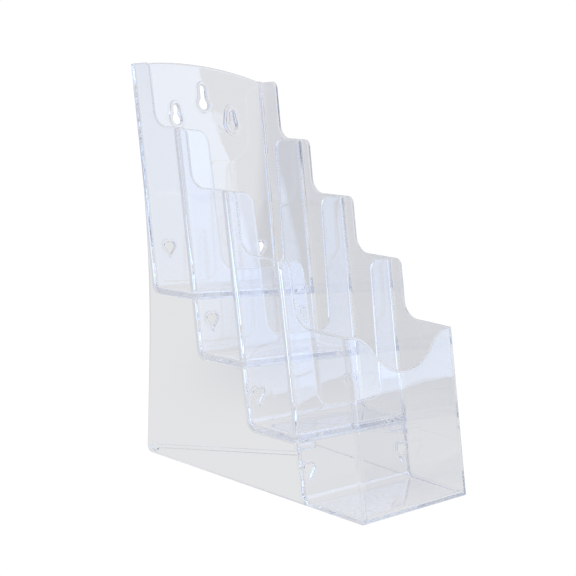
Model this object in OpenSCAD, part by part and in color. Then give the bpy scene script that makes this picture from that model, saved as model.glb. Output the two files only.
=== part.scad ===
// Four-tier counter brochure rack in clear moulded plastic.
// Millimetres, +Z up. The reader stands on the -Y side and looks along +Y.
// The rack sits on z = 0 with its footprint centred on X and its full depth centred on Y.

/* [Width] */
// Outside width across the side panels at the front edge
width_front = 110; // [104:1:140]
// Outside width across the side panels at the rear foot
width_rear = 134.5; // [110:0.5:160]
// Thickness of every panel, wall and floor
wall = 2.2; // [1.6:0.1:4]

/* [Depth] */
// Depth of the footprint on the table
foot_depth = 236; // [200:1:280]
// Front-to-back pitch of the lowest pocket
front_pocket = 57; // [45:1:70]
// Front-to-back pitch of the three upper pockets
pocket_pitch = 48; // [36:1:60]
// Lean of all walls behind the vertical, degrees
lean = 11.7; // [6:0.1:18]

/* [Height] */
// Top of the front wall above the table
front_height = 123; // [100:1:140]
// Step in height from one tier to the next
tier_rise = 46; // [36:1:60]
// Top corners of the back panel above the table
back_height = 312; // [290:1:340]
// Extra height of the arch at the middle of the back panel
arch_rise = 7; // [0:0.5:14]
// Underside of the second floor above the table
second_floor = 43.5; // [36:0.5:56]
// Step in height from one floor to the next above it
floor_rise = 44.5; // [36:0.5:56]

/* [Side panels] */
// How far the side panels stand in front of the inner walls
flange = 11; // [6:0.5:16]
// How far the side panels stand in front of the back panel
back_flange = 22; // [12:0.5:30]
// Rise of each top edge from its front corner to its rear hollow
ledge_rise = 2; // [0:0.5:5]
// Radius of the outer corners of the stepped edge
corner_r = 7; // [3:0.5:10]
// Radius of the hollows of the stepped edge
hollow_r = 16; // [8:0.5:20]
// Radius of the long sweep of the rear edge
rear_sweep_r = 800; // [500:10:1000]
// Radius of the rear bottom corner
foot_r = 6; // [3:0.5:10]
// Radius of the two outer front corners
front_corner_r = 3; // [2.5:0.25:4]

/* [Walls] */
// Half width of the finger opening at the top of an inner wall
opening_top = 35.5; // [28:0.5:40]
// Half width of the finger opening at its bottom
opening_bottom = 31.5; // [26:0.5:38]
// Height of the lip under the opening, above its pocket floor underside
lip_height = 22; // [14:0.5:30]
// Radius of the top corners of the opening
opening_top_r = 10; // [4:0.5:14]
// Radius of the bottom corners of the opening
opening_bottom_r = 12; // [6:0.5:16]
// Inside radius where a wall turns into the floor in front of it
cove_r = 6; // [3:0.5:9]

/* [Front scoop] */
// Depth of the scoop in the front wall
scoop_depth = 26.6; // [15:0.1:40]
// Half width of the scoop at the top edge
scoop_half = 52; // [44:0.5:54]
// Radius of the convex shoulders of the scoop
shoulder_r = 26; // [15:0.5:32]

/* [Keyholes] */
// Sideways distance of the two outer keyholes from the middle
keyhole_x = 29.5; // [20:0.5:40]
// Height along the panel of the middle keyhole's round end
keyhole_mid_s = 292.7; // [280:0.1:300]
// Height along the panel of the outer keyholes' round ends
keyhole_side_s = 277.4; // [265:0.1:290]
// Radius of the middle keyhole's round end
keyhole_mid_r = 4.8; // [4:0.1:6]
// Radius of the outer keyholes' round ends
keyhole_side_r = 4.2; // [3.5:0.1:5.5]
// Length of the middle keyhole between its end centres
keyhole_mid_len = 13.5; // [8:0.1:16]
// Length of the outer keyholes between their end centres
keyhole_side_len = 10; // [7:0.1:14]
// Thickness of the web that closes the right keyhole
web = 0.8; // [0.6:0.1:1.5]
// Height of the raised rims and bezels above the wall
rim_height = 1.2; // [0.6:0.1:2]
// Width of the raised rims round the outer keyholes
rim_width = 3.6; // [2:0.1:4.5]

/* [Heart vents] */
// Sideways distance of the vents from the middle
vent_x = 48; // [42:0.5:50]
// Height of the vents above the table, lowest tier first
vent_z = [23, 67, 115.5, 167.5];
// Radius of the two upper lobes of a vent
vent_lobe_r = 3; // [2:0.1:4]
// Width of the raised bezel round a vent
vent_rim = 2.6; // [1.5:0.1:3]

/* [Braces] */
// Width of the slanted rib on the inside of each side panel
rib_width = 3; // [2:0.25:5]
// How far the rib stands off the panel
rib_depth = 2.4; // [1.5:0.1:4]
// Height of the rib's rear end above the table
rib_low = 6; // [4:0.5:12]
// Height of the rib's front end above the table
rib_high = 35; // [25:0.5:40]
// Distance of the rib's rear end from the rear foot edge
rib_inset = 9; // [6:0.5:16]
// Diameter of the round boss at the rib's rear end
boss_d = 8; // [6:0.5:12]
// Length of the short ledge that carries the rib across the second wall
ledge_len = 17; // [10:0.5:24]
// Height of the short ledge
ledge_h = 4.4; // [3:0.1:6]

/* [Hidden] */
$fn = 96;
e = 0.01;
T = tan(lean);
wall_y = wall / cos(lean);
splay = (width_rear - width_front) / 2 / foot_depth;
splay_deg = atan(splay);
inner_half = width_front / 2 - wall / cos(splay_deg);
plane = [0, 0, front_pocket, front_pocket + pocket_pitch,
         front_pocket + 2 * pocket_pitch, front_pocket + 3 * pocket_pitch];
top_z = [0, front_height, front_height + tier_rise, front_height + 2 * tier_rise,
         front_height + 3 * tier_rise, back_height];
floor_z = [0, 0, second_floor, second_floor + floor_rise, second_floor + 2 * floor_rise];
flange_off = [0, 0, plane[2] - flange, plane[3] - flange, plane[4] - flange, plane[5] - back_flange];
rear_off = plane[5] + wall_y;
full_depth = plane[5] + wall * cos(lean) + (back_height / cos(lean) + arch_rise) * sin(lean);
y_shift = full_depth / 2;

clear_a = [0.86, 0.90, 0.96];
clear_b = [0.78, 0.84, 0.93];
clear_c = [0.70, 0.77, 0.90];

// ---------- plane geometry ----------

function unit(v) = v / norm(v);
function along(off, z) = (off + T * z) / cos(splay_deg);

function arc(c, r, a0, turn, n) =
  [for (i = [0:n]) c + r * [cos(a0 + turn * i / n), sin(a0 + turn * i / n)]];

// The round of radius r that replaces the corner p between its neighbours a and b.
function corner(a, p, b, r) =
  let (d1 = unit(a - p), d2 = unit(b - p), half = acos(d1 * d2) / 2,
       c = p + unit(d1 + d2) * r / sin(half),
       t1 = p + d1 * r / tan(half) - c, t2 = p + d2 * r / tan(half) - c,
       a0 = atan2(t1[1], t1[0]), turn = (atan2(t2[1], t2[0]) - a0 + 900) % 360 - 180)
  arc(c, r, a0, turn, max(6, ceil(abs(turn) / (r > 100 ? 0.6 : 6))));

// A closed path with each corner rounded by its own radius; 0 keeps the corner sharp.
function rounded(p, r) =
  let (n = len(p))
  [for (i = [0:n - 1]) each (r[i] == 0 ? [p[i]] : corner(p[(i + n - 1) % n], p[i], p[(i + 1) % n], r[i]))];

// Two circles of different size joined by their outer tangents.
module pear2d(r1, r2, d) {
  f = asin((r1 - r2) / d);
  circle(r = r1);
  translate([0, d]) circle(r = r2);
  polygon([[r1 * cos(f), r1 * sin(f)], [r2 * cos(f), d + r2 * sin(f)],
           [-r2 * cos(f), d + r2 * sin(f)], [-r1 * cos(f), r1 * sin(f)]]);
}

module keyhole2d(r1, r2, d) {
  circle(r = r1);
  translate([0, d]) circle(r = r2);
  translate([-r2, 0]) square([2 * r2, d]);
}

// Two lobes above a point: grow widens the outline on every side.
module vent2d(grow) {
  a = 2;
  b = 1.6;
  r = vent_lobe_r + grow;
  c = 6.2 + grow * 1.35;
  d = norm([a, b + c]);
  g = atan2(b + c, a) - asin(r / d);
  l = sqrt(d * d - r * r);
  translate([a, b]) circle(r = r);
  translate([-a, b]) circle(r = r);
  polygon([[0, -c], [l * cos(g), -c + l * sin(g)], [a, b], [a, b + r - 0.35],
           [-a, b + r - 0.35], [-a, b], [-l * cos(g), -c + l * sin(g)]]);
}

// ---------- frames ----------

module placed() { translate([0, -y_shift, 0]) children(); }

// Local z runs up the leaning wall, local y through its thickness.
module leaned(off) { translate([0, off, 0]) rotate([-lean, 0, 0]) children(); }

// A flat drawing in (x, up the wall), drawn depth thick from the wall's front face.
module on_wall(off, from, depth) {
  leaned(off) translate([0, from + depth, 0]) rotate([90, 0, 0]) linear_extrude(height = depth) children();
}

// A flat drawing in (depth, height) on the left side panel, from its outer face inwards.
module on_left(from, depth) {
  translate([-width_front / 2, 0, 0]) rotate([0, 0, splay_deg]) translate([from, 0, 0])
    rotate([90, 0, 90]) linear_extrude(height = depth) children();
}

// Space between the inner faces of the two side panels.
module between_sides() {
  y0 = -20;
  y1 = full_depth + 20;
  translate([0, 0, -20]) linear_extrude(height = back_height + 60)
    polygon([[-inner_half - splay * y0, y0], [inner_half + splay * y0, y0],
             [inner_half + splay * y1, y1], [-inner_half - splay * y1, y1]]);
}

// Where the bottom of wall k, measured up the wall, meets the cove of the floor in front of it.
function cove_z(k) = floor_z[k - 1] + wall + cove_r;
function cove_y(k) = plane[k] + T * cove_z(k) - cove_r / cos(lean);
function cove_s(k) = (cove_y(k) - plane[k]) * sin(lean) + cove_z(k) * cos(lean);

// Everything outside the two rounded front corners.
module outside_front_corner() {
  r = front_corner_r;
  c = 1 / cos(lean);
  q = 1 / cos(splay_deg);
  // centre line of the corner, r inside both faces
  p0 = [-width_front / 2 + r * q - splay * (r * c), r * c, 0];
  p1 = p0 + front_height * 1.5 * [-splay * T, T, 1];
  pm = p0 - 20 * [-splay * T, T, 1];
  v = p1 - pm;
  translate(pm) rotate([0, acos(v[2] / norm(v)), atan2(v[1], v[0])]) rotate([0, 0, -atan2(v[1], v[0])])
    difference() {
      translate([-3 * r, -3 * r, 0]) cube([3 * r, 3 * r, norm(v)]);
      translate([0, 0, -1]) cylinder(r = r + 0.03, h = norm(v) + 2);
    }
}

// ---------- side panels ----------

function edge_pt(off, z) = [along(off, z), z];
foot_u = foot_depth / cos(splay_deg);
rear_meet_z = (foot_depth - rear_off) / T;

module side_profile() {
  polygon(rounded(
    [edge_pt(-6, 0), edge_pt(-6, front_height - 0.2),
     edge_pt(flange_off[2], top_z[1] + ledge_rise), edge_pt(flange_off[2], top_z[2]),
     edge_pt(flange_off[3], top_z[2] + ledge_rise), edge_pt(flange_off[3], top_z[3]),
     edge_pt(flange_off[4], top_z[3] + ledge_rise), edge_pt(flange_off[4], top_z[4]),
     edge_pt(flange_off[5], top_z[4] + ledge_rise), edge_pt(flange_off[5], top_z[5]),
     edge_pt(rear_off, top_z[5]), [foot_u, rear_meet_z], [foot_u, 0]],
    [0, 0, hollow_r, corner_r, hollow_r, corner_r, hollow_r, corner_r, hollow_r, corner_r,
     0, rear_sweep_r, foot_r]));
}

module side_panel() {
  difference() {
    on_left(0, wall) side_profile();
    leaned(0) translate([-100, -60, -40]) cube([200, 60, 400]);
    outside_front_corner();
  }
}

module side_panel_left() { color(clear_b) placed() side_panel(); }
module side_panel_right() { color(clear_b) placed() mirror([1, 0, 0]) side_panel(); }

// ---------- walls ----------

// Outline of an inner wall with its finger opening, drawn up the wall.
module inner_outline(s0, s_lip, s_top) {
  polygon(rounded(
    [[-90, s0], [-90, s_top], [-opening_top, s_top], [-opening_bottom, s_lip],
     [opening_bottom, s_lip], [opening_top, s_top], [90, s_top], [90, s0]],
    [0, 0, opening_top_r, opening_bottom_r, opening_bottom_r, opening_top_r, 0, 0]));
}

module vents2d(k, grow) {
  s = vent_z[k - 1] / cos(lean);
  for (sx = [-1, 1]) translate([sx * vent_x, s]) vent2d(grow);
}

module inner_wall(k) {
  s_top = top_z[k] / cos(lean);
  s_lip = (floor_z[k] + lip_height) / cos(lean);
  difference() {
    intersection() {
      on_wall(plane[k], 0, wall) inner_outline(cove_s(k), s_lip, s_top);
      between_sides();
    }
    on_wall(plane[k], -1, wall + 2) vents2d(k - 1, 0);
  }
}

module tier_2_wall() { color(clear_a) placed() inner_wall(2); }
module tier_3_wall() { color(clear_a) placed() inner_wall(3); }
module tier_4_wall() { color(clear_a) placed() inner_wall(4); }

// Outline of the front wall: its scoop is one round bottom between two convex shoulders.
module front_outline(s_top) {
  r2 = shoulder_r;
  r1 = (scoop_half * scoop_half + pow(r2 - scoop_depth, 2) - r2 * r2) / (2 * scoop_depth);
  c1 = [0, s_top - scoop_depth + r1];
  c2 = [scoop_half, s_top - r2];
  a = atan2(c1[1] - c2[1], c1[0] - c2[0]);
  polygon(concat(
    [[-90, -10], [-90, s_top]],
    arc([-c2[0], c2[1]], r2, 90, 90 - a, 10),
    arc(c1, r1, 360 - a, 2 * a - 180, 24),
    arc(c2, r2, a, 90 - a, 10),
    [[90, s_top], [90, -10]]));
}

module front_wall() {
  s_top = front_height / cos(lean);
  color(clear_a) placed() difference() {
    intersection() {
      on_wall(0, 0, wall) front_outline(s_top);
      between_sides();
      translate([-100, -20, 0]) cube([200, 100, 200]);
    }
    outside_front_corner();
    mirror([1, 0, 0]) outside_front_corner();
  }
}

module back_panel() {
  s_top = back_height / cos(lean);
  half = inner_half + splay * (plane[5] + T * back_height);
  r = (half * half + arch_rise * arch_rise) / (2 * arch_rise);
  color(clear_a) placed() difference() {
    intersection() {
      on_wall(plane[5], 0, wall) intersection() {
        translate([-90, cove_s(5)]) square([180, s_top]);
        translate([0, s_top + arch_rise - r]) circle(r = r, $fn = 180);
      }
      between_sides();
    }
    on_wall(plane[5], -1, wall + 2) {
      translate([0, keyhole_mid_s]) keyhole2d(keyhole_mid_r, 2.6, keyhole_mid_len);
      translate([-keyhole_x, keyhole_side_s]) keyhole2d(keyhole_side_r, 2.3, keyhole_side_len);
      vents2d(4, 0);
    }
    // the right keyhole is only a recess: a thin web closes it at the back
    on_wall(plane[5], -1, 1 + wall - web) translate([keyhole_x, keyhole_side_s])
      keyhole2d(keyhole_side_r, 2.3, keyhole_side_len);
  }
}

// ---------- floors ----------

// Section through a floor: a flat strip that ends in the cove under the wall behind it.
module floor2d(k) {
  cy = cove_y(k + 1);
  cz = cove_z(k + 1);
  ro = cove_r + wall;
  f0 = plane[k] + wall_y + T * floor_z[k];
  f1 = plane[k] + wall_y + T * (floor_z[k] + wall);
  polygon([[f0, floor_z[k]], [cy, floor_z[k]], [cy, floor_z[k] + wall], [f1, floor_z[k] + wall]]);
  intersection() {
    translate([cy, cz]) difference() {
      circle(r = ro);
      circle(r = cove_r);
    }
    polygon([[cy, cz], [cy, cz - 30], [cy + 30, cz - 30],
             [cy + 30 * cos(lean), cz - 30 * sin(lean)]]);
  }
}

module floor_strip(k) {
  color(clear_c) placed() intersection() {
    translate([-90, 0, 0]) rotate([90, 0, 90]) linear_extrude(height = 180) floor2d(k);
    between_sides();
  }
}

module tier_1_floor() { floor_strip(1); }
module tier_2_floor() { floor_strip(2); }
module tier_3_floor() { floor_strip(3); }
module tier_4_floor() { floor_strip(4); }

// ---------- raised rims ----------

module keyhole_rim(sx) {
  color(clear_c) placed() on_wall(plane[5], -rim_height, rim_height)
    translate([sx * keyhole_x, keyhole_side_s]) difference() {
      pear2d(keyhole_side_r + rim_width, 2.3 + rim_width, keyhole_side_len);
      keyhole2d(keyhole_side_r, 2.3, keyhole_side_len);
    }
}

module keyhole_rim_left() { keyhole_rim(-1); }
module keyhole_rim_right() { keyhole_rim(1); }

// The bezels of tier k stand on the wall behind pocket k.
module vent_bezels(k) {
  color(clear_c) placed() on_wall(plane[k + 1], -rim_height, rim_height) difference() {
    vents2d(k, vent_rim);
    vents2d(k, 0);
  }
}

module vent_bezels_tier_1() { vent_bezels(1); }
module vent_bezels_tier_2() { vent_bezels(2); }
module vent_bezels_tier_3() { vent_bezels(3); }
module vent_bezels_tier_4() { vent_bezels(4); }

// ---------- braces under the tiers ----------

module brace_rib() {
  rear = [(foot_depth - rib_inset) / cos(splay_deg), rib_low];
  front = edge_pt(plane[2] + wall_y, rib_high);
  v = front - rear;
  difference() {
    union() {
      on_left(wall, rib_depth) translate(rear) rotate([0, 0, atan2(v[1], v[0])])
        translate([0, -rib_width / 2]) square([norm(v) + 10, rib_width]);
      on_left(wall, rib_depth + 0.8) translate(rear) circle(d = boss_d);
    }
    // ends flush on the rear face of the second wall
    leaned(plane[2]) translate([-100, wall - 60, -40]) cube([200, 60, 400]);
  }
}

module brace_rib_left() { color(clear_c) placed() brace_rib(); }
module brace_rib_right() { color(clear_c) placed() mirror([1, 0, 0]) brace_rib(); }

// Short ledge on the rear face of the second wall, in line with the rib.
module brace_ledge() {
  s = rib_high / cos(lean);
  y = plane[2] + wall_y + T * rib_high;
  x = inner_half + splay * y;
  difference() {
    intersection() {
      on_wall(plane[2], wall, rib_depth) translate([-x - 5, s + 2]) square([ledge_len + 5, ledge_h]);
      between_sides();
    }
    brace_rib();
  }
}

module brace_ledge_left() { color(clear_c) placed() brace_ledge(); }
module brace_ledge_right() { color(clear_c) placed() mirror([1, 0, 0]) brace_ledge(); }

side_panel_left();
side_panel_right();
back_panel();
front_wall();
tier_2_wall();
tier_3_wall();
tier_4_wall();
tier_1_floor();
tier_2_floor();
tier_3_floor();
tier_4_floor();
keyhole_rim_left();
keyhole_rim_right();
vent_bezels_tier_1();
vent_bezels_tier_2();
vent_bezels_tier_3();
vent_bezels_tier_4();
brace_rib_left();
brace_rib_right();
brace_ledge_left();
brace_ledge_right();
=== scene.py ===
import math

import bmesh
import bpy
from mathutils import Matrix, Vector
from mathutils.geometry import delaunay_2d_cdt


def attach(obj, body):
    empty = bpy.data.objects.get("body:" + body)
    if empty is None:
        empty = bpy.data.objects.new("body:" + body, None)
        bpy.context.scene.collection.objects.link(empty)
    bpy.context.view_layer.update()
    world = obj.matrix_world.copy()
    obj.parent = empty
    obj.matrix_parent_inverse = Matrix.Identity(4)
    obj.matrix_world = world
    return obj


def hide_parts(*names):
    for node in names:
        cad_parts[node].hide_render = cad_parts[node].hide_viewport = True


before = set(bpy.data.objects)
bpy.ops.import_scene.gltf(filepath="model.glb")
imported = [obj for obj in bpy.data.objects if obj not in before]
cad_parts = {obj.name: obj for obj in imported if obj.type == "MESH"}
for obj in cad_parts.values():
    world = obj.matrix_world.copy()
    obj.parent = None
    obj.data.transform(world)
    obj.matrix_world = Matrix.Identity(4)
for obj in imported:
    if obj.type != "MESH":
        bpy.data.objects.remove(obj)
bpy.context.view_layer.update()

# ---------------------------------------------------------------- sizes, mm
MM = 0.001
LEAN = math.radians(11.7)
COS_LEAN, SIN_LEAN, TAN_LEAN = math.cos(LEAN), math.sin(LEAN), math.tan(LEAN)
FRONT_WIDTH, REAR_WIDTH, FOOT_DEPTH = 110.0, 134.5, 236.0       # outside, at the table
WALL = 2.2          # thickness of every sheet
WALL_Y = WALL / COS_LEAN      # the same, measured level through a leaning wall
SPLAY = (REAR_WIDTH - FRONT_WIDTH) / 2 / FOOT_DEPTH
SPLAY_ANGLE = math.atan(SPLAY)
INNER = FRONT_WIDTH / 2 - WALL / math.cos(SPLAY_ANGLE)       # half the inside width at the front
# one value for each leaning wall, from the front to the back panel; entry 0 is not used
PLANE = [0, 0, 57, 105, 153, 201]           # where its front face, carried down, meets the table
TOP = [0, 123, 169, 215, 261, 312]          # height of its top edge
FLANGE_OFF = [0, 0, 46, 94, 142, 179]       # the same as PLANE for the side panels' front edge there
FLOOR_Z = [0, 0, 43.5, 88, 132.5]           # underside of each tier's floor
LEDGE_RISE = 2      # how far the side panels step up behind each wall's top
COVE = 6.0          # inside radius where a floor turns up into the wall behind it
ARCH = 7.0          # rise of the back panel's top edge
REAR_OFF = PLANE[5] + WALL_Y
# half the rack's depth, which moves its middle to y = 0
Y_SHIFT = (PLANE[5] + WALL * COS_LEAN + (TOP[5] / COS_LEAN + ARCH) * SIN_LEAN) / 2
EMBED = 0.4         # how far a sheet runs into the one that it is moulded to
SKIN = 0.015        # what keeps two faces of one moulding from lying in one plane
CORNER_R = 3.0      # outer rounding of the two upright front corners
SOLE_R = 3.5        # outer rounding along the front bottom edge
SWEEP_R = 800.0     # sweep of the side panels' rear edges
STEP_IN_R, STEP_OUT_R = 16, 7       # roundings in and on the steps of the side panels
HEEL_R = 6          # rounding of the side panels' rear bottom corner
EDGE_RUN = 2.0      # how far in from a free edge its rounding starts
EDGE_DROP = 0.95    # how far each face falls back there
FILLET = 2.6        # fillet where a wall runs into a side panel
FLOOR_FILLET = 4.2  # fillet between a floor and the wall in front of it
LIP = 22            # height of a finger opening's lower edge over the floor's underside
VENT_X, VENT_Z = 48.0, [23, 67, 115.5, 167.5]
VENT_RIM = 2.5      # width of the raised edge round a vent
FIT_GAP = 0.03      # between a vent and the raised edge round it
RIM_HEIGHT = 1.2    # of every raised edge
RIM_RUN = 1.0       # how far in the edges of a raised rim start to round
RIM_DROP = 0.9      # how far a raised rim falls there
# keyholes: round end's middle up the back panel, then radii of round end and slot, and length between ends
MIDDLE_KEYHOLE = (0, 292.7, 4.8, 2.6, 13.5)
SIDE_KEYHOLE_X, SIDE_KEYHOLE_S = 29.5, 277.4
SIDE_KEYHOLE = (4.2, 2.3, 10.0)
RIM_OUTSIDE, RIM_INSIDE = (7.8, 5.9, 10.0), (4.6, 2.75, 10.0)
HALO = 3.4          # width of the swelling round the middle keyhole
BLIND_HALO = 2.4    # the same outside the rim of the blind keyhole
SWELL = 0.6         # height of both
SWELL_FLAT = 0.68   # part of their width before they slope down
RECESS = 1.4        # depth of the blind keyhole
BRACE_Z = 35.0      # height of the braces' front ends
BRACE_DEPTH = 2.4   # how far ribs and ledges stand off


# ---------------------------------------------------------------- 2D paths
def arc(c, r, a0, turn, n):
    """n + 1 points round c, from the angle a0 through turn."""
    return [(c[0] + r * math.cos(a0 + turn * i / n), c[1] + r * math.sin(a0 + turn * i / n))
            for i in range(n + 1)]


def corner(a, p, b, r):
    """The corner at p, between a and b, rounded by r."""
    a, p, b = Vector(a), Vector(p), Vector(b)
    d1, d2 = (a - p).normalized(), (b - p).normalized()
    half = math.acos(max(-1, min(1, d1.dot(d2)))) / 2
    c = p + (d1 + d2).normalized() * r / math.sin(half)
    t1, t2 = p + d1 * r / math.tan(half) - c, p + d2 * r / math.tan(half) - c
    a0 = math.atan2(t1.y, t1.x)
    turn = (math.atan2(t2.y, t2.x) - a0 + 3 * math.pi) % (2 * math.pi) - math.pi
    step = 0.9 if r > 100 else 7.0      # degrees
    n = max(5, math.ceil(math.degrees(abs(turn)) / step))
    return arc(c, r, a0, turn, n)


def rounded(points, radii):
    """A closed outline with a radius for each corner."""
    out, n = [], len(points)
    for i in range(n):
        if radii[i] == 0:
            out.append(tuple(points[i]))
        else:
            out += corner(points[i - 1], points[i], points[(i + 1) % n], radii[i])
    return out


def pear(cx, cy, r1, r2, d, n=14):
    """A big circle below and a small one above, joined by their tangents."""
    f = math.asin((r1 - r2) / d)
    return (arc((cx, cy), r1, math.pi - f, math.pi + 2 * f, 2 * n)
            + arc((cx, cy + d), r2, f, math.pi - 2 * f, n))


def keyhole(cx, cy, r1, r2, d):
    """A round hole with a slot above it; the shoulders are blended."""
    q = math.asin(r2 / r1)
    # radians of the round end that each shoulder takes, and how far above it the slot's sides start
    blend, rise = 0.12, 0.5
    low = arc((cx, cy), r1, math.pi / 2 + q + blend, 2 * math.pi - 2 * q - 2 * blend, 30)
    slot = arc((cx, cy + d), r2, 0, math.pi, 12)
    return low + [(cx + r2, cy + r1 + rise)] + slot + [(cx - r2, cy + r1 + rise)]


def vent(cx, cy, grow):
    """Heart-like vent, widened by grow: two shallow lobes over a blunt point."""
    lobe_x, lobe_y = 2.0, 1.6
    point = 6.2 + grow * 1.35
    r = 3.0 + grow
    d = math.hypot(lobe_x, lobe_y + point)
    start = math.atan2(lobe_y + point, lobe_x) - math.asin(r / d) - math.pi / 2
    dip = math.acos(min(1, (lobe_x - 0.25) / r))
    right = arc((lobe_x, lobe_y), r, start, (math.pi - dip) - start, 12)
    left = [(-x, y) for x, y in reversed(right)]
    blunt = [(-0.55, -point + 0.75), (-0.2, -point + 0.35), (0.2, -point + 0.35)]
    pts = [(0.55, -point + 0.75)] + right + left + blunt
    return [(cx + x, cy + y) for x, y in pts]


def area2(pts):
    """Twice the area inside a path, positive if it runs anticlockwise."""
    return sum(pts[i - 1][0] * pts[i][1] - pts[i][0] * pts[i - 1][1] for i in range(len(pts)))


def inset(pts, dist, keep=None):
    """The closed path moved inwards (material on its left) by dist; keep(p, q) edges stay put."""
    n = len(pts)
    out = []
    for i in range(n):
        a, p, b = Vector(pts[i - 1]), Vector(pts[i]), Vector(pts[(i + 1) % n])
        e1, e2 = (p - a).normalized(), (b - p).normalized()
        n1, n2 = Vector((-e1.y, e1.x)), Vector((-e2.y, e2.x))
        d1 = 0.0 if keep and keep(a, p) else dist
        d2 = 0.0 if keep and keep(p, b) else dist
        det = n1.x * n2.y - n1.y * n2.x
        if abs(det) < 1e-4:
            q = p + (n1 + n2).normalized() * max(d1, d2) if d1 == d2 else p + n1 * d1
        else:
            q = p + Vector(((d1 * n2.y - d2 * n1.y) / det, (n1.x * d2 - n2.x * d1) / det))
            if (q - p).length > 3 * dist:
                q = p + (q - p).normalized() * 3 * dist
        out.append((q.x, q.y))
    return out


# ---------------------------------------------------------------- solid makers
def make_object(name, verts, faces):
    """An object from points in millimetres, drawn with the lower front edge at y = 0."""
    mesh = bpy.data.meshes.new(name)
    mesh.from_pydata([(x * MM, (y - Y_SHIFT) * MM, z * MM) for x, y, z in verts], [], faces)
    bm = bmesh.new()
    bm.from_mesh(mesh)
    bmesh.ops.remove_doubles(bm, verts=bm.verts, dist=1e-7)
    bmesh.ops.dissolve_degenerate(bm, edges=bm.edges, dist=1e-8)
    bmesh.ops.recalc_face_normals(bm, faces=bm.faces)
    bm.to_mesh(mesh)
    bm.free()
    obj = bpy.data.objects.new(name, mesh)
    bpy.context.scene.collection.objects.link(obj)
    return obj


EDGE_RINGS = (0.06, 0.22, 0.46, 0.74, 1.0)      # rows of points over the rounding of an edge


def plate(name, outline, holes, front, back, place, lines=(), loops=(), keep=None, open_at=None,
          edge=EDGE_RUN):
    """A sheet drawn in 2D, material on the left of every path (holes run the other way).
    front(a, b, d) and back(a, b, d) give its two faces; d is the distance to the nearest free edge.
    place(a, b, t) puts a point of the sheet in space. Edges that keep(p, q) names are not free: they
    are moulded to another sheet. The rim stays open along b = open_at."""
    if area2(outline) < 0:
        outline = outline[::-1]
    holes = [h if area2(h) < 0 else h[::-1] for h in holes]
    pts, edges = [], []

    def add(path, closed=True, skip=()):
        i0 = len(pts)
        pts.extend(Vector(p) for p in path)
        m = len(path)
        for i in range(m if closed else m - 1):
            if i not in skip:
                edges.append((i0 + i, i0 + (i + 1) % m))

    for path in [outline] + holes + list(loops):
        add(path)
    ends = list(zip(outline, outline[1:] + outline[:1]))
    skip = {i for i, (p, q) in enumerate(ends) if keep and keep(Vector(p), Vector(q))}
    for k in EDGE_RINGS:
        add(inset(outline, edge * k, keep), skip=skip)
        for h in holes:
            add(inset(h, edge * k))
    for ln in lines:
        add(ln, closed=False)
    spots, _, cells = delaunay_2d_cdt(pts, edges, [], 0, 2e-4)[:3]

    segs = []
    for path in [outline] + holes:
        for i in range(len(path)):
            p, q = Vector(path[i - 1]), Vector(path[i])
            if keep and path is outline and keep(p, q):
                continue
            segs.append((p, q))

    def inside(path, x, y):
        within = False
        for i in range(len(path)):
            (x1, y1), (x2, y2) = path[i - 1], path[i]
            if (y1 > y) != (y2 > y) and x < (x2 - x1) * (y - y1) / (y2 - y1) + x1:
                within = not within
        return within

    def dist(p):
        best = 1e9
        for a, b in segs:
            if min(abs(a.x - p.x), abs(b.x - p.x)) > best and (a.x - p.x) * (b.x - p.x) > 0:
                continue
            ab = b - a
            l2 = ab.length_squared
            t = 0 if l2 == 0 else max(0, min(1, (p - a).dot(ab) / l2))
            best = min(best, (a + ab * t - p).length)
        return best

    tris = []
    for f in cells:
        c = sum((spots[i] for i in f), Vector((0, 0))) / len(f)
        if inside(outline, c.x, c.y) and not any(inside(h, c.x, c.y) for h in holes):
            tris.append(tuple(f))
    used = sorted({i for f in tris for i in f})
    number = {i: k for k, i in enumerate(used)}
    n = len(used)
    free = {i: dist(spots[i]) for i in used}
    verts = []
    for face in (front, back):
        for i in used:
            a, b = spots[i]
            verts.append(place(a, b, face(a, b, free[i])))
    faces = []
    sides = {}
    for f in tris:
        g = [number[i] for i in f]
        faces.append(tuple(g))
        faces.append(tuple(k + n for k in reversed(g)))
        for i in range(len(g)):
            sides[(g[i], g[(i + 1) % len(g)])] = True
    # a side that only one triangle has lies on the rim
    for (i, j) in sides:
        if (j, i) in sides:
            continue
        if open_at is not None and all(abs(spots[used[q]].y - open_at) < 0.001 for q in (i, j)):
            continue
        faces.append((j, i, i + n, j + n))
    return make_object(name, verts, faces)


def round_in(d, run=EDGE_RUN, drop=EDGE_DROP):
    """How far a face falls back at distance d from a free edge."""
    return 0.0 if d >= run else drop * (1 - math.sqrt(max(0.0, 1 - (1 - d / run) ** 2)))


def flare(d, r=FILLET):
    """How far a face stands out at distance d from a panel that it runs into."""
    return 0.0 if d >= r else r - math.sqrt(max(0.0, r * r - (r - d) ** 2))


# distances from a side panel at which a sheet that runs into it has a row of points
FLARE_ROWS = [-EMBED, -0.01] + [FILLET * q for q in (0.03, 0.11, 0.24, 0.42, 0.62, 0.82, 1.0)]
FOOT_COLUMNS = 12


def foot_row():
    """Across a sheet from left to right: (side, distance from the panel) or (place from -1 to 1, None)."""
    left = [(-1, d) for d in FLARE_ROWS]
    middle = [(-1 + 2 * j / FOOT_COLUMNS, None) for j in range(1, FOOT_COLUMNS)]
    return left + middle + [(1, d) for _, d in reversed(left)]


def foot_x(station, half):
    side, d = station
    return side * (half - FILLET) if d is None else side * (half - d)


def round_edge(e, g, r, under=0.0):
    """Pull a point, e and g inside two faces that meet at a right angle, onto the rounding of their edge.
    It ends up the distance under inside it."""
    if e >= r or g >= r:
        return e, g
    d = math.hypot(r - e, r - g)
    lim = r - under
    return (e, g) if d <= lim else (r - (r - e) * lim / d, r - (r - g) * lim / d)


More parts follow.
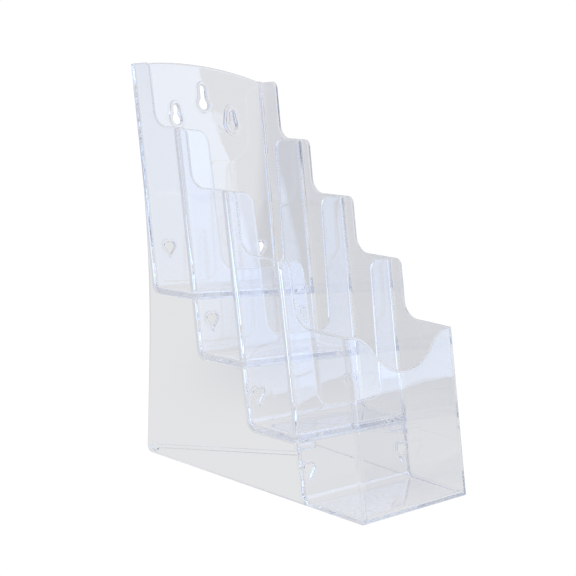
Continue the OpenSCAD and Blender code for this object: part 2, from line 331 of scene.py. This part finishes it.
def round_sole(y, z, under=0.0):
    """The same along the front bottom edge, where the leaning front meets the sole."""
    cy, cz = TAN_LEAN * SOLE_R + SOLE_R / COS_LEAN, SOLE_R
    if z >= cz or (y - TAN_LEAN * z) * COS_LEAN >= SOLE_R:
        return y, z
    d = math.hypot(y - cy, z - cz)
    lim = SOLE_R - under
    return (y, z) if d <= lim else (cy + (y - cy) * lim / d, cz + (z - cz) * lim / d)


# ---------------------------------------------------------------- leaning walls
def wall_place(off):
    """x across, s up the wall and t through it; x follows the splay of the sides."""
    def place(x, s, t):
        half = half_at(off, s)
        y, z = off + t * COS_LEAN + s * SIN_LEAN, s * COS_LEAN - t * SIN_LEAN
        return (x * (1 + SPLAY * t * COS_LEAN / half), y, z)
    return place


def half_at(off, s):
    """Half width between the side panels at height s up the wall."""
    return INNER + SPLAY * (off + s * SIN_LEAN)


def cove_z(k):
    """Height of the middle of the rounding between wall k and the floor in front of it."""
    return FLOOR_Z[k - 1] + WALL + COVE


def cove_y(k):
    return PLANE[k] + TAN_LEAN * cove_z(k) - COVE / COS_LEAN


def cove_s(k):
    """How far up wall k that rounding ends."""
    return (cove_y(k) - PLANE[k]) * SIN_LEAN + cove_z(k) * COS_LEAN


def rear_room(z):
    """How far the side panels' swept rear edges stand behind the back panel at height z."""
    reach = SWEEP_R * math.tan(LEAN / 2)
    z1 = (FOOT_DEPTH - REAR_OFF) / TAN_LEAN - reach
    if z >= z1 + SWEEP_R * SIN_LEAN:
        return 0.0
    rear = FOOT_DEPTH if z < z1 else FOOT_DEPTH + SWEEP_R - math.sqrt(SWEEP_R ** 2 - (z - z1) ** 2)
    return max(0.0, (rear - REAR_OFF - TAN_LEAN * z) * COS_LEAN)


def leaning_wall(name, k, path, s0, s1, holes, loops=(), raise_front=None):
    """A wall between the side panels; path runs along its top from right to left."""
    off = PLANE[k]
    hb, ht = half_at(off, s0), half_at(off, s1)
    foot = [(foot_x(st, hb), s0) for st in foot_row()]
    outline = foot + [(ht + EMBED, s1)] + path + [(-ht - EMBED, s1)]

    def keep(p, q):
        beside = all(abs(abs(v[0]) - half_at(off, v[1]) - EMBED) < 0.03 for v in (p, q))
        return (beside and p[0] * q[0] > 0) or all(abs(v[1] - s0) < 0.01 for v in (p, q))

    def side_d(x, s):
        return half_at(off, s) - abs(x)

    def front(x, s, d):
        o = round_in(d) - (flare(side_d(x, s)) if k > 1 else 0)
        return o - raise_front(x, s) if raise_front else o

    def back(x, s, d):
        f = flare(side_d(x, s))
        return WALL - round_in(d) + (min(f, rear_room(s * COS_LEAN)) if k == 5 else f)

    lines = []
    for sx in (-1, 1):
        for q in FLARE_ROWS[1:]:
            lines.append([(sx * (hb - q), s0), (sx * (ht - q), s1)])
    base = wall_place(off)

    def place_front(x, s, t):
        g = WALL + side_d(x, s)
        e, g2 = round_edge(t, g, CORNER_R, SKIN)
        px, py, pz = base(x - math.copysign(g2 - g, x), s, e)
        if pz < 0:
            py, pz = py - TAN_LEAN * pz, 0.0
        py, pz = round_sole(py, pz)
        return px, py, pz

    if k == 1:
        # rows for the rounded sole
        lines += [[(-hb - EMBED, h), (hb + EMBED, h)] for h in (0.5, 1.0, 1.6, 2.3, 3.2, 4.3)]
    place, open_at = (base, s0) if k > 1 else (place_front, None)
    return plate(name, outline, holes, front, back, place, lines=lines, loops=loops, keep=keep,
                 open_at=open_at)


def opening_top_path(s_lip, s_top):
    """The top edge of an inner wall from right to left, dipping into the finger opening."""
    top_half, low_half, top_r, low_r = 35.5, 31.5, 10.0, 12.0
    beside = 60         # any point outside the top corners
    pts = [(beside, s_top), (top_half, s_top), (low_half, s_lip),
           (-low_half, s_lip), (-top_half, s_top), (-beside, s_top)]
    path = []
    for i in range(1, 5):
        path += corner(pts[i - 1], pts[i], pts[i + 1], (top_r, low_r, low_r, top_r)[i - 1])
    return path


def vent_holes(k):
    s = VENT_Z[k - 1] / COS_LEAN
    return [vent(sx * VENT_X, s, 0) for sx in (-1, 1)]


def inner_wall(k):
    s_top = TOP[k] / COS_LEAN
    s_lip = (FLOOR_Z[k] + LIP) / COS_LEAN
    return leaning_wall("tier_%d_wall_clear" % k, k, opening_top_path(s_lip, s_top),
                        cove_s(k), s_top, vent_holes(k - 1))


def front_wall():
    """The first pocket's front; its top edge has a wide scoop between two round shoulders."""
    s_top = TOP[1] / COS_LEAN
    r, depth, half = 26.0, 26.6, 52.0       # shoulders' radius, scoop's depth and half its width
    scoop_r = (half * half + (r - depth) ** 2 - r * r) / (2 * depth)
    low, shoulder = (0, s_top - depth + scoop_r), (half, s_top - r)
    a = math.atan2(low[1] - shoulder[1], low[0] - shoulder[0])
    path = (arc(shoulder, r, math.pi / 2, a - math.pi / 2, 12)
            + arc(low, scoop_r, -(math.pi - a), -(2 * a - math.pi), 26)[1:-1]
            + arc((-half, shoulder[1]), r, math.pi - a, a - math.pi / 2, 12))
    return leaning_wall("front_wall_clear", 1, path, 0.0, s_top, [])


def side_keyhole(sx):
    return keyhole(sx * SIDE_KEYHOLE_X, SIDE_KEYHOLE_S, *SIDE_KEYHOLE)


def back_panel():
    """The tallest wall: arched top edge, keyholes, and low swellings round two of them."""
    s0, s_top = cove_s(5), TOP[5] / COS_LEAN
    ht = half_at(PLANE[5], s_top)
    r = (ht * ht + ARCH * ARCH) / (2 * ARCH)
    q = math.asin(ht / r)
    path = arc((0, s_top + ARCH - r), r, math.pi / 2 - q, 2 * q, 34)[1:-1]
    middle = keyhole(*MIDDLE_KEYHOLE)
    holes = [middle, side_keyhole(-1)] + vent_holes(4)
    blind = pear(SIDE_KEYHOLE_X, SIDE_KEYHOLE_S, *RIM_OUTSIDE)

    def swell(x, s):
        best = 1.0
        for path, run in ((middle, HALO), (blind, BLIND_HALO)):
            if abs(x - path[0][0]) < 20 and abs(s - path[0][1]) < 30:      # far points are left out
                best = min(best, min((Vector((x, s)) - Vector(p)).length for p in path) / run)
        slope = max(0.0, (best - SWELL_FLAT) / (1 - SWELL_FLAT))
        return SWELL * (0.5 + 0.5 * math.cos(math.pi * slope))

    rings = [inset(middle[::-1], HALO * f) for f in (0.35, 0.68, 0.76, 0.84, 0.92, 1.0)]
    rings += [inset(blind[::-1], BLIND_HALO * f) for f in (0.0, 0.35, 0.68, 0.79, 0.90, 1.0)]
    return leaning_wall("back_panel_clear", 5, path, s0, s_top, holes, loops=rings, raise_front=swell)


def keyhole_recess():
    """The right keyhole is moulded blind: a recess in the front face."""
    over = 1.5          # clear of the front face, so that the cut goes right through it
    edge = 0.4          # rounding round its bottom
    return plate("recess", side_keyhole(1), [], lambda x, s, d: -over,
                 lambda x, s, d: RECESS - round_in(d, edge, edge), wall_place(PLANE[5]), edge=edge)


# ---------------------------------------------------------------- side panels
def side_place(sx):
    """u along the panel from the front, z up and t from its outer face inwards."""
    c, s = math.cos(SPLAY_ANGLE), math.sin(SPLAY_ANGLE)

    def place(u, z, t):
        x = -FRONT_WIDTH / 2 + c * t - s * u
        y = s * t + c * u
        return (-sx * x, y, z)
    return place


def edge_pt(off, z):
    """On a side panel, at height z on the leaning line that meets the table at off."""
    return ((off + TAN_LEAN * z) / math.cos(SPLAY_ANGLE), z)


def side_panel(name, sx):
    """A tall panel that steps down with the pockets in front and is swept behind."""
    foot_u = FOOT_DEPTH / math.cos(SPLAY_ANGLE)
    meet = (FOOT_DEPTH - REAR_OFF) / TAN_LEAN
    pts = [edge_pt(0, 0), edge_pt(0, TOP[1])]
    for k in (2, 3, 4, 5):
        pts += [edge_pt(FLANGE_OFF[k], TOP[k - 1] + LEDGE_RISE), edge_pt(FLANGE_OFF[k], TOP[k])]
    pts += [edge_pt(REAR_OFF, TOP[5]), (foot_u, meet), (foot_u, 0)]
    radii = [SOLE_R, 0.8] + 4 * [STEP_IN_R, STEP_OUT_R] + [1.2, SWEEP_R, HEEL_R]
    outline = rounded(pts, radii)
    if area2(outline) < 0:
        outline = outline[::-1]

    def front_d(u, z):
        """How far behind the leaning front face."""
        return (u * math.cos(SPLAY_ANGLE) - TAN_LEAN * z) * COS_LEAN

    def outer(u, z, d):
        return 0.0 if front_d(u, z) < CORNER_R and z < TOP[1] - 1 else round_in(d)

    def inner(u, z, d):
        front_wall_here = front_d(u, z) < CORNER_R and z < TOP[1] - 1
        back_panel_here = REAR_OFF * COS_LEAN - front_d(u, z) < 2.3 and 150 < z < TOP[5] - 1
        return WALL if front_wall_here or back_panel_here else WALL - round_in(d)

    base = side_place(sx)

    def place(u, z, t):
        e = front_d(u, z)
        if z > TOP[1] + 1 or e > CORNER_R:
            return base(u, z, t)
        e2, t2 = round_edge(max(e, 0.0), t, CORNER_R)
        return base(u + (e2 - e) / COS_LEAN / math.cos(SPLAY_ANGLE), z, t2)

    # rows for the rounded upright corner
    rows = [q * CORNER_R / COS_LEAN for q in (0.01, 0.05, 0.12, 0.22, 0.36, 0.54, 0.76, 1.0)]
    lines = [[edge_pt(q, 0.0), edge_pt(q, TOP[1] - 0.4)] for q in rows]
    return plate(name, outline, [], outer, inner, place, lines=lines)


# ---------------------------------------------------------------- floors
def floor_strip(k):
    """A flat strip that runs out of wall k with a fillet and turns up into wall k + 1; that end is open."""
    cy, cz = cove_y(k + 1), cove_z(k + 1)
    top_z = FLOOR_Z[k] + WALL
    low_z = FLOOR_Z[k] + (SKIN if k == 1 else 0)
    y0 = PLANE[k] + WALL_Y
    fr = FLOOR_FILLET
    length = cy - (y0 + TAN_LEAN * (low_z + WALL / 2))
    flat = [-EMBED, -0.01] + [fr * q for q in (0.02, 0.07, 0.15, 0.27, 0.42, 0.6, 0.8, 1.0)]
    flat += [fr + (length - fr) * i / 5 for i in range(1, 6)]
    stations = [(v, None) for v in flat]
    stations += [(None, -math.pi / 2 + (math.pi / 2 - LEAN) * i / 12) for i in range(1, 13)]

    def at(v, a, off, upper):
        """v behind the wall in front, or at the angle a of the cove; off stands out from the face."""
        if v is None:
            r = COVE - off if upper else COVE + WALL + off
            if k == 1 and not upper:
                r -= SKIN
            return cy + r * math.cos(a), cz + r * math.sin(a)
        z = top_z + off if upper else low_z - off
        y = y0 + TAN_LEAN * z + v
        if v >= fr:
            f = (v - fr) / (length - fr)
            y = (y0 + TAN_LEAN * z + fr) * (1 - f) + cy * f
        return round_sole(y, z, SKIN) if k == 1 else (y, z)

    rows = ([], [])
    for v, a in stations:
        lift = flare(v, fr) if v is not None else 0.0
        drop = flare(v, FILLET) if v is not None and k > 1 else 0.0
        for upper, rise in ((1, lift), (0, drop)):
            row = []
            for st in foot_row():
                flat_here = st[1] is None or (k == 1 and not upper and v is not None)
                f = 0.0 if flat_here else flare(st[1])
                # the fillets of two edges blend in the corner between them
                off = max(rise, f) if min(rise, f) < 0.2 else math.hypot(rise, f) * 0.9
                y, z = at(v, a, off, upper)
                z = max(z, low_z) if k == 1 else z
                row.append((foot_x(st, INNER + SPLAY * y), y, z))
            rows[upper].append(row)
    nr, nc = len(stations), len(rows[0][0])
    verts = [p for row in rows[1] for p in row] + [p for row in rows[0] for p in row]
    o = nr * nc
    faces = []
    for i in range(nr - 1):
        for j in range(nc - 1):
            p = i * nc + j
            faces += [(p, p + 1, p + nc + 1, p + nc), (o + p + nc, o + p + nc + 1, o + p + 1, o + p)]
        for j in (0, nc - 1):
            p = i * nc + j
            faces.append((p, p + nc, o + p + nc, o + p))
    faces += [(j, j + 1, o + j + 1, o + j) for j in range(nc - 1)]
    return make_object("tier_%d_floor_clear" % k, verts, faces)


# ---------------------------------------------------------------- small raised parts
def ring(name, off, outlines):
    """Raised rims on the front face of a leaning wall: a list of (outer path, inner path)."""
    def top_face(x, s, d):
        return round_in(d, RIM_RUN, RIM_DROP) - RIM_HEIGHT

    def foot(x, s, d):
        return WALL / 2

    place = wall_place(off)
    made = [plate(name, outer, [inner], top_face, foot, place, edge=RIM_RUN) for outer, inner in outlines]
    for other in made[1:]:
        absorb(made[0], other)
    made[0].name = name
    return made[0]


def vent_bezels(k):
    s = VENT_Z[k - 1] / COS_LEAN
    pairs = [(vent(sx * VENT_X, s, VENT_RIM), vent(sx * VENT_X, s, FIT_GAP)) for sx in (-1, 1)]
    return ring("vent_bezels_tier_%d_clear" % k, PLANE[k + 1], pairs)


def keyhole_rim(name, sx):
    outer, inner = [pear(sx * SIDE_KEYHOLE_X, SIDE_KEYHOLE_S, *size) for size in (RIM_OUTSIDE, RIM_INSIDE)]
    return ring(name, PLANE[5], [(outer, inner)])


def bar(name, p, q, width, place, boss=0.0, run=0.7, drop=0.7):
    """A rounded rib between two points of a panel's face, with a round boss at p if asked."""
    p, q = Vector(p), Vector(q)
    d = (q - p).normalized()
    across = Vector((-d.y, d.x)) * width / 2
    end = [tuple(q - across), tuple(q + across)]
    if boss:
        ang = math.asin(width / 2 / boss)
        path = arc(p, boss, math.atan2(d.y, d.x) + ang, 2 * math.pi - 2 * ang, 30) + end
    else:
        path = [tuple(p + across), tuple(p - across)] + end

    def top(a, b, e):
        return BRACE_DEPTH - round_in(e, run, drop)

    return plate(name, path, [], lambda a, b, e: -EMBED, top, place, edge=run)


def brace_rib(name, sx):
    """A thin rib inside a leg, sloping down to a boss in its rear bottom corner."""
    boss_in, boss_z = 9, 6.0        # middle of the boss, in from the rear edge and up from the table
    gap = 0.35                      # between the rib's front end and the second wall
    rear = ((FOOT_DEPTH - boss_in) / math.cos(SPLAY_ANGLE), boss_z)
    front = edge_pt(PLANE[2] + WALL_Y + gap, BRACE_Z)
    place = side_place(sx)
    return bar(name, rear, front, 3.0, lambda u, z, t: place(u, z, t + WALL), boss=4.0)


def brace_ledge(name, sx):
    """A short ledge on the rear face of the second wall, where the rib ends."""
    width, length = 4.4, 14.5
    # how far its lower edge is above the middle of the rib's end, and its own end from the side panel
    over, gap = 2, 3.2
    s = BRACE_Z / COS_LEAN + over + width / 2
    x = INNER + SPLAY * (PLANE[2] + WALL_Y + TAN_LEAN * BRACE_Z) - gap
    place = wall_place(PLANE[2])
    ends = (sx * x, s), (sx * (x - length), s)
    return bar(name, *ends, width, lambda a, b, t: place(a, b, WALL + t), run=1.8, drop=1.6)


# ---------------------------------------------------------------- moulding the sheets together
def absorb(ob, other, close=0.0):
    """Take the other object's faces into this one; close welds points of open rims that are this near."""
    bm = bmesh.new()
    bm.from_mesh(ob.data)
    bm.from_mesh(other.data)
    if close:
        rim = [v for v in bm.verts if v.is_boundary]
        bmesh.ops.remove_doubles(bm, verts=rim, dist=close)
        bmesh.ops.recalc_face_normals(bm, faces=bm.faces)
    bm.to_mesh(ob.data)
    bm.free()
    bpy.data.objects.remove(other)


def tag(ob, number):
    """Mark every face with the number of the piece it belongs to."""
    layer = ob.data.attributes.new("piece", "INT", "FACE")
    layer.data.foreach_set("value", [number] * len(ob.data.polygons))


def boolean(ob, other, operation):
    mod = ob.modifiers.new("join", "BOOLEAN")
    mod.operation = operation
    mod.solver = "MANIFOLD"
    mod.object = other
    deps = bpy.context.evaluated_depsgraph_get()
    mesh = bpy.data.meshes.new_from_object(ob.evaluated_get(deps))
    ob.modifiers.remove(mod)
    ob.data = mesh
    bpy.data.objects.remove(other)


def smooth_normals(ob):
    """Round stretches shade smoothly and flat ones stay flat."""
    mesh = ob.data
    for f in mesh.polygons:
        f.use_smooth = True
    mesh.set_sharp_from_angle(angle=math.radians(38))
    mod = ob.modifiers.new("normals", "WEIGHTED_NORMAL")
    mod.mode = "FACE_AREA"
    mod.weight = 100
    mod.keep_sharp = True
    deps = bpy.context.evaluated_depsgraph_get()
    ob.data = bpy.data.meshes.new_from_object(ob.evaluated_get(deps))
    ob.modifiers.remove(mod)


def mould(pieces, channels, recess):
    """One skin over all the sheets, then each piece takes back its own part of it.
    Where two pieces are moulded to each other no face is left between them."""
    names = list(pieces)
    for i, n in enumerate(names):
        tag(pieces[n], i)
    for a, b in channels:
        absorb(pieces[a], pieces.pop(b), close=0.02 * MM)
    boolean(pieces["tier_4_floor"], recess, "DIFFERENCE")
    left = list(pieces.values())
    body = left[0]
    for other in left[1:]:
        boolean(body, other, "UNION")
    body.name = "moulding"
    out = {}
    for i, n in enumerate(names):
        bm = bmesh.new()
        bm.from_mesh(body.data)
        layer = bm.faces.layers.int["piece"]
        bmesh.ops.delete(bm, geom=[f for f in bm.faces if f[layer] != i], context="FACES")
        mesh = bpy.data.meshes.new(n + "_clear")
        bm.to_mesh(mesh)
        bm.free()
        mesh.attributes.remove(mesh.attributes["piece"])
        out[n] = bpy.data.objects.new(n + "_clear", mesh)
        bpy.context.scene.collection.objects.link(out[n])
        smooth_normals(out[n])
    bpy.data.objects.remove(body)
    return out


# ---------------------------------------------------------------- clear plastic
def noise(nt, place, scale, detail):
    tex = nt.nodes.new("ShaderNodeTexNoise")
    tex.inputs["Scale"].default_value = scale
    tex.inputs["Detail"].default_value = detail
    nt.links.new(place, tex.inputs["Vector"])
    return tex


def bump(nt, height, strength, distance):
    node = nt.nodes.new("ShaderNodeBump")
    node.inputs["Strength"].default_value = strength
    node.inputs["Distance"].default_value = distance
    nt.links.new(height, node.inputs["Height"])
    return node


TINT = (0.985, 0.988, 1.0, 1)       # a trace of blue


def clear_plastic(name, wave, rough):
    m = bpy.data.materials.new(name)
    m.use_nodes = True
    nt = m.node_tree
    nt.nodes.clear()
    out = nt.nodes.new("ShaderNodeOutputMaterial")
    p = nt.nodes.new("ShaderNodeBsdfPrincipled")
    p.inputs["Base Color"].default_value = TINT
    p.inputs["IOR"].default_value = 1.57
    p.inputs["Transmission Weight"].default_value = 1.0
    nt.links.new(p.outputs[0], out.inputs["Surface"])
    place = nt.nodes.new("ShaderNodeNewGeometry").outputs["Position"]
    # slow sink and flow waves of a moulded sheet
    waves = noise(nt, place, 16, 1.5)
    waves.inputs["Roughness"].default_value = 0.35
    slow = bump(nt, waves.outputs[0], wave, 0.004)
    # fine grain of the surface
    grain = noise(nt, place, 420, 2)
    fine = bump(nt, grain.outputs[0], 0.03, 0.0001)
    nt.links.new(slow.outputs[0], fine.inputs["Normal"])
    nt.links.new(fine.outputs[0], p.inputs["Normal"])
    # faint handling haze
    haze = noise(nt, place, 38, 5)
    r = nt.nodes.new("ShaderNodeMapRange")
    r.inputs["From Min"].default_value = 0.45
    r.inputs["From Max"].default_value = 0.8
    r.inputs["To Min"].default_value = rough
    r.inputs["To Max"].default_value = rough + 0.03
    nt.links.new(haze.outputs[0], r.inputs["Value"])
    nt.links.new(r.outputs[0], p.inputs["Roughness"])
    return m


MATS = {
    "clear_side": clear_plastic("clear_side_plastic", 0.10, 0.0),
    "clear_wall": clear_plastic("clear_wall_plastic", 0.12, 0.0),
    "clear_floor": clear_plastic("clear_floor_plastic", 0.10, 0.0),
    "clear_detail": clear_plastic("clear_detail_plastic", 0.05, 0.01),
}


def all_pieces():
    """Every node's own shape, with the material slot that it takes."""
    made = {
        "side_panel_left": (side_panel("side_panel_left_clear", -1), "clear_side"),
        "side_panel_right": (side_panel("side_panel_right_clear", 1), "clear_side"),
        "front_wall": (front_wall(), "clear_wall"),
    }
    for k in (1, 2, 3, 4):
        made["tier_%d_floor" % k] = (floor_strip(k), "clear_floor")
    for k in (2, 3, 4):
        made["tier_%d_wall" % k] = (inner_wall(k), "clear_wall")
    made["back_panel"] = (back_panel(), "clear_wall")
    for k in (1, 2, 3, 4):
        made["vent_bezels_tier_%d" % k] = (vent_bezels(k), "clear_detail")
    for sx, word in ((-1, "left"), (1, "right")):
        made["keyhole_rim_" + word] = (keyhole_rim("rim_" + word, sx), "clear_detail")
        made["brace_rib_" + word] = (brace_rib("rib_" + word, sx), "clear_detail")
        made["brace_ledge_" + word] = (brace_ledge("ledge_" + word, sx), "clear_detail")
    return made


MADE = all_pieces()
# each floor and the wall that it turns up into are drawn with open ends that meet
WALL_BEHIND = {1: "tier_2_wall", 2: "tier_3_wall", 3: "tier_4_wall", 4: "back_panel"}
CHANNELS = [("tier_%d_floor" % k, wall) for k, wall in WALL_BEHIND.items()]
MOULDED = mould({n: ob for n, (ob, slot) in MADE.items()}, CHANNELS, keyhole_recess())
for node, ob in MOULDED.items():
    slot = MADE[node][1]
    ob.data.materials.clear()
    ob.data.materials.append(MATS[slot])
    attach(ob, "root")
    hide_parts(node)
    ob.visible_shadow = False       # the lamp's light goes through


# ---------------------------------------------------------------- camera
CAMERA_ANGLES = (-43.86, 8.42, 2.56)        # azimuth, elevation and roll, degrees
CAMERA_AT = (-506.7, -406.5, 214.9)         # mm, before the shift that puts the rack's middle at zero


def camera():
    az, el, roll = (math.radians(v) for v in CAMERA_ANGLES)
    back = Vector((math.sin(az) * math.cos(el), -math.cos(az) * math.cos(el), math.sin(el)))
    fwd = -back
    level = fwd.cross(Vector((0, 0, 1))).normalized()
    above = level.cross(fwd)
    right = math.cos(roll) * level + math.sin(roll) * above
    up = -math.sin(roll) * level + math.cos(roll) * above
    cam = bpy.data.cameras.new("camera")
    ob = bpy.data.objects.new("camera", cam)
    rot = Matrix((right, up, back)).transposed()
    x, y, z = CAMERA_AT
    spot = Vector((x, y - Y_SHIFT, z)) * MM
    ob.matrix_world = Matrix.Translation(spot) @ rot.to_4x4()
    cam.sensor_width = 36
    cam.lens = 59.92
    cam.shift_x, cam.shift_y = -0.034, 0.084
    cam.clip_start = 0.01
    cam.clip_end = 50
    bpy.context.scene.collection.objects.link(ob)
    bpy.context.scene.camera = ob
    return fwd


VIEW = camera()
FLAT = Vector((VIEW.x, VIEW.y, 0)).normalized()


# ---------------------------------------------------------------- studio
def area(name, loc, target, width, height, power, colour):
    li = bpy.data.lights.new(name, "AREA")
    li.shape = "RECTANGLE"
    li.size, li.size_y = width, height
    li.energy = power
    li.color = colour
    ob = bpy.data.objects.new(name, li)
    bpy.context.scene.collection.objects.link(ob)
    d = Vector(target) - Vector(loc)
    ob.location = loc
    ob.rotation_euler = d.to_track_quat("-Z", "Y").to_euler()
    return ob


def ray_mix(nt, seen, lit, out_socket):
    """One value for what the camera sees directly, another for what lights and shows in the plastic."""
    path = nt.nodes.new("ShaderNodeLightPath")
    mix = nt.nodes.new("ShaderNodeMix")
    mix.data_type = "RGBA"
    nt.links.new(path.outputs["Is Camera Ray"], mix.inputs["Factor"])
    nt.links.new(lit, mix.inputs["A"])
    mix.inputs["B"].default_value = seen
    nt.links.new(mix.outputs["Result"], out_socket)


def put(nt, value, socket):
    """A colour or another node's output into a socket."""
    if isinstance(value, tuple):
        socket.default_value = value
    else:
        nt.links.new(value, socket)


def remap(nt, value, lo, hi, first, last):
    """A soft step from one colour to another as value goes from lo to hi."""
    mr = nt.nodes.new("ShaderNodeMapRange")
    mr.interpolation_type = "SMOOTHSTEP"
    mr.inputs["From Min"].default_value = lo
    mr.inputs["From Max"].default_value = hi
    nt.links.new(value, mr.inputs["Value"])
    mx = nt.nodes.new("ShaderNodeMix")
    mx.data_type = "RGBA"
    put(nt, first, mx.inputs["A"])
    put(nt, last, mx.inputs["B"])
    nt.links.new(mr.outputs[0], mx.inputs["Factor"])
    return mx.outputs["Result"]


def along(nt, vector, axis):
    """How far a vector reaches along an axis."""
    dot = nt.nodes.new("ShaderNodeVectorMath")
    dot.operation = "DOT_PRODUCT"
    dot.inputs[1].default_value = axis
    nt.links.new(vector, dot.inputs[0])
    return dot.outputs["Value"]


# level and to the right as the camera sees it, turned so that the step in brightness lies at the
# back panel's right edge
EDGE_TURN = 0.05
RIGHT = tuple(Vector((FLAT.y, -FLAT.x, 0)) + EDGE_TURN * FLAT)
TABLE_DEPTH = (-0.25, 0.968, 0)     # across the table, away from the softbox
BACKDROP_TURN = -12     # degrees from the way that the camera looks to the backdrop's middle (to the right)
PAPER = (1.02, 1.02, 1.02, 1)       # table and backdrop as the camera sees them
# what lights the plastic and shows in it
# painted light: the table top glows with these three, brighter near the object and dimmer at the front and
# far right
TABLE_NEAR, TABLE_FRONT = (0.778, 0.781, 0.786, 1), (0.42, 0.45, 0.53, 1)
TABLE_FAR_RIGHT = (0.665, 0.675, 0.695, 1)
BACKDROP, BACKDROP_RIGHT = (0.82, 0.823, 0.828, 1), (0.70, 0.705, 0.74, 1)
ROOM_LOW, ROOM_HIGH = (0.50, 0.515, 0.55, 1), (0.10, 0.13, 0.24, 1)
CEILING = (0.36, 0.40, 0.52, 1)


def floor_disc():
    """Pale table top whose glow is painted light: brighter round the object, dimmer towards the front and
    far off to the right.
    """
    bm = bmesh.new()
    bmesh.ops.create_circle(bm, cap_ends=True, segments=96, radius=30.0)
    me = bpy.data.meshes.new("floor")
    bm.to_mesh(me)
    bm.free()
    fl = bpy.data.objects.new("floor", me)
    bpy.context.scene.collection.objects.link(fl)
    fl.location = (0, 0, -0.0004)
    m = bpy.data.materials.new("pale_floor")
    m.use_nodes = True
    nt = m.node_tree
    nt.nodes.clear()
    out = nt.nodes.new("ShaderNodeOutputMaterial")
    em = nt.nodes.new("ShaderNodeEmission")
    nt.links.new(em.outputs[0], out.inputs["Surface"])
    geo = nt.nodes.new("ShaderNodeNewGeometry")
    place = geo.outputs["Position"]
    # painted light: the table's glow is brightest round the object and falls off towards the front and far
    # right
    lit = remap(nt, along(nt, place, TABLE_DEPTH), -0.9, -0.1, TABLE_FRONT, TABLE_NEAR)
    far = remap(nt, along(nt, place, tuple(FLAT)), 0.10, 0.45, lit, TABLE_FAR_RIGHT)
    lit = remap(nt, along(nt, place, RIGHT), -0.15, 0.0, lit, far)
    ray_mix(nt, PAPER, lit, em.inputs["Color"])
    me.materials.append(m)


def room():
    """A paper backdrop behind the object and a dim room around."""
    w = bpy.data.worlds.new("room")
    bpy.context.scene.world = w
    w.use_nodes = True
    nt = w.node_tree
    tc = nt.nodes.new("ShaderNodeTexCoord")
    towards = FLAT.copy()
    towards.rotate(Matrix.Rotation(math.radians(BACKDROP_TURN), 3, "Z"))
    ray = tc.outputs["Generated"]
    walls = remap(nt, along(nt, ray, (0, 0, 1)), 0.06, 0.22, ROOM_LOW, ROOM_HIGH)
    walls = remap(nt, along(nt, ray, (0, 0, 1)), 0.45, 0.75, walls, CEILING)
    paper = remap(nt, along(nt, ray, RIGHT), -0.013, 0.004, BACKDROP, BACKDROP_RIGHT)
    lit = remap(nt, along(nt, ray, tuple(towards)), -0.05, 0.75, walls, paper)
    ray_mix(nt, PAPER, lit, nt.nodes["Background"].inputs["Color"])


SOFTBOX_EDGE = (0.352, -0.124)      # its rear upright edge, metres, before the shift to the rack's middle
SOFTBOX_RUN = Vector((-0.7071, -0.7071, 0))
SOFTBOX_WIDTH, SOFTBOX_LOW, SOFTBOX_HIGH = 0.62, 0.104, 0.80
SOFTBOX_COLOUR = (0.85, 1.12, 1.6)
SOFTBOX_ROLL = 1.6      # degrees out of level
UNIT_POWER = 3.1416     # watts for each square metre of panel that is one unit bright


def softbox():
    """Cool softbox close by at the front right, its lower edge just above table height."""
    near_edge = Vector((SOFTBOX_EDGE[0], SOFTBOX_EDGE[1] - Y_SHIFT * MM, 0))
    height = SOFTBOX_HIGH - SOFTBOX_LOW
    loc = near_edge + SOFTBOX_RUN * SOFTBOX_WIDTH / 2 + Vector((0, 0, (SOFTBOX_LOW + SOFTBOX_HIGH) / 2))
    target = loc + Vector((-0.7071, 0.7071, 0))
    power = UNIT_POWER * SOFTBOX_WIDTH * height
    ob = area("softbox_front_right", loc, target, SOFTBOX_WIDTH, height, power, SOFTBOX_COLOUR)
    ob.rotation_euler.rotate_axis("Z", math.radians(SOFTBOX_ROLL))


def studio():
    floor_disc()
    room()
    softbox()
    sc = bpy.context.scene
    sc.view_settings.view_transform = "Standard"
    # light runs a long way inside a clear sheet before it comes out
    sc.cycles.max_bounces = 128
    sc.cycles.transmission_bounces = 128
    sc.cycles.glossy_bounces = 128
    sc.cycles.transparent_max_bounces = 64
    sc.cycles.caustics_reflective = False
    sc.cycles.caustics_refractive = False


studio()
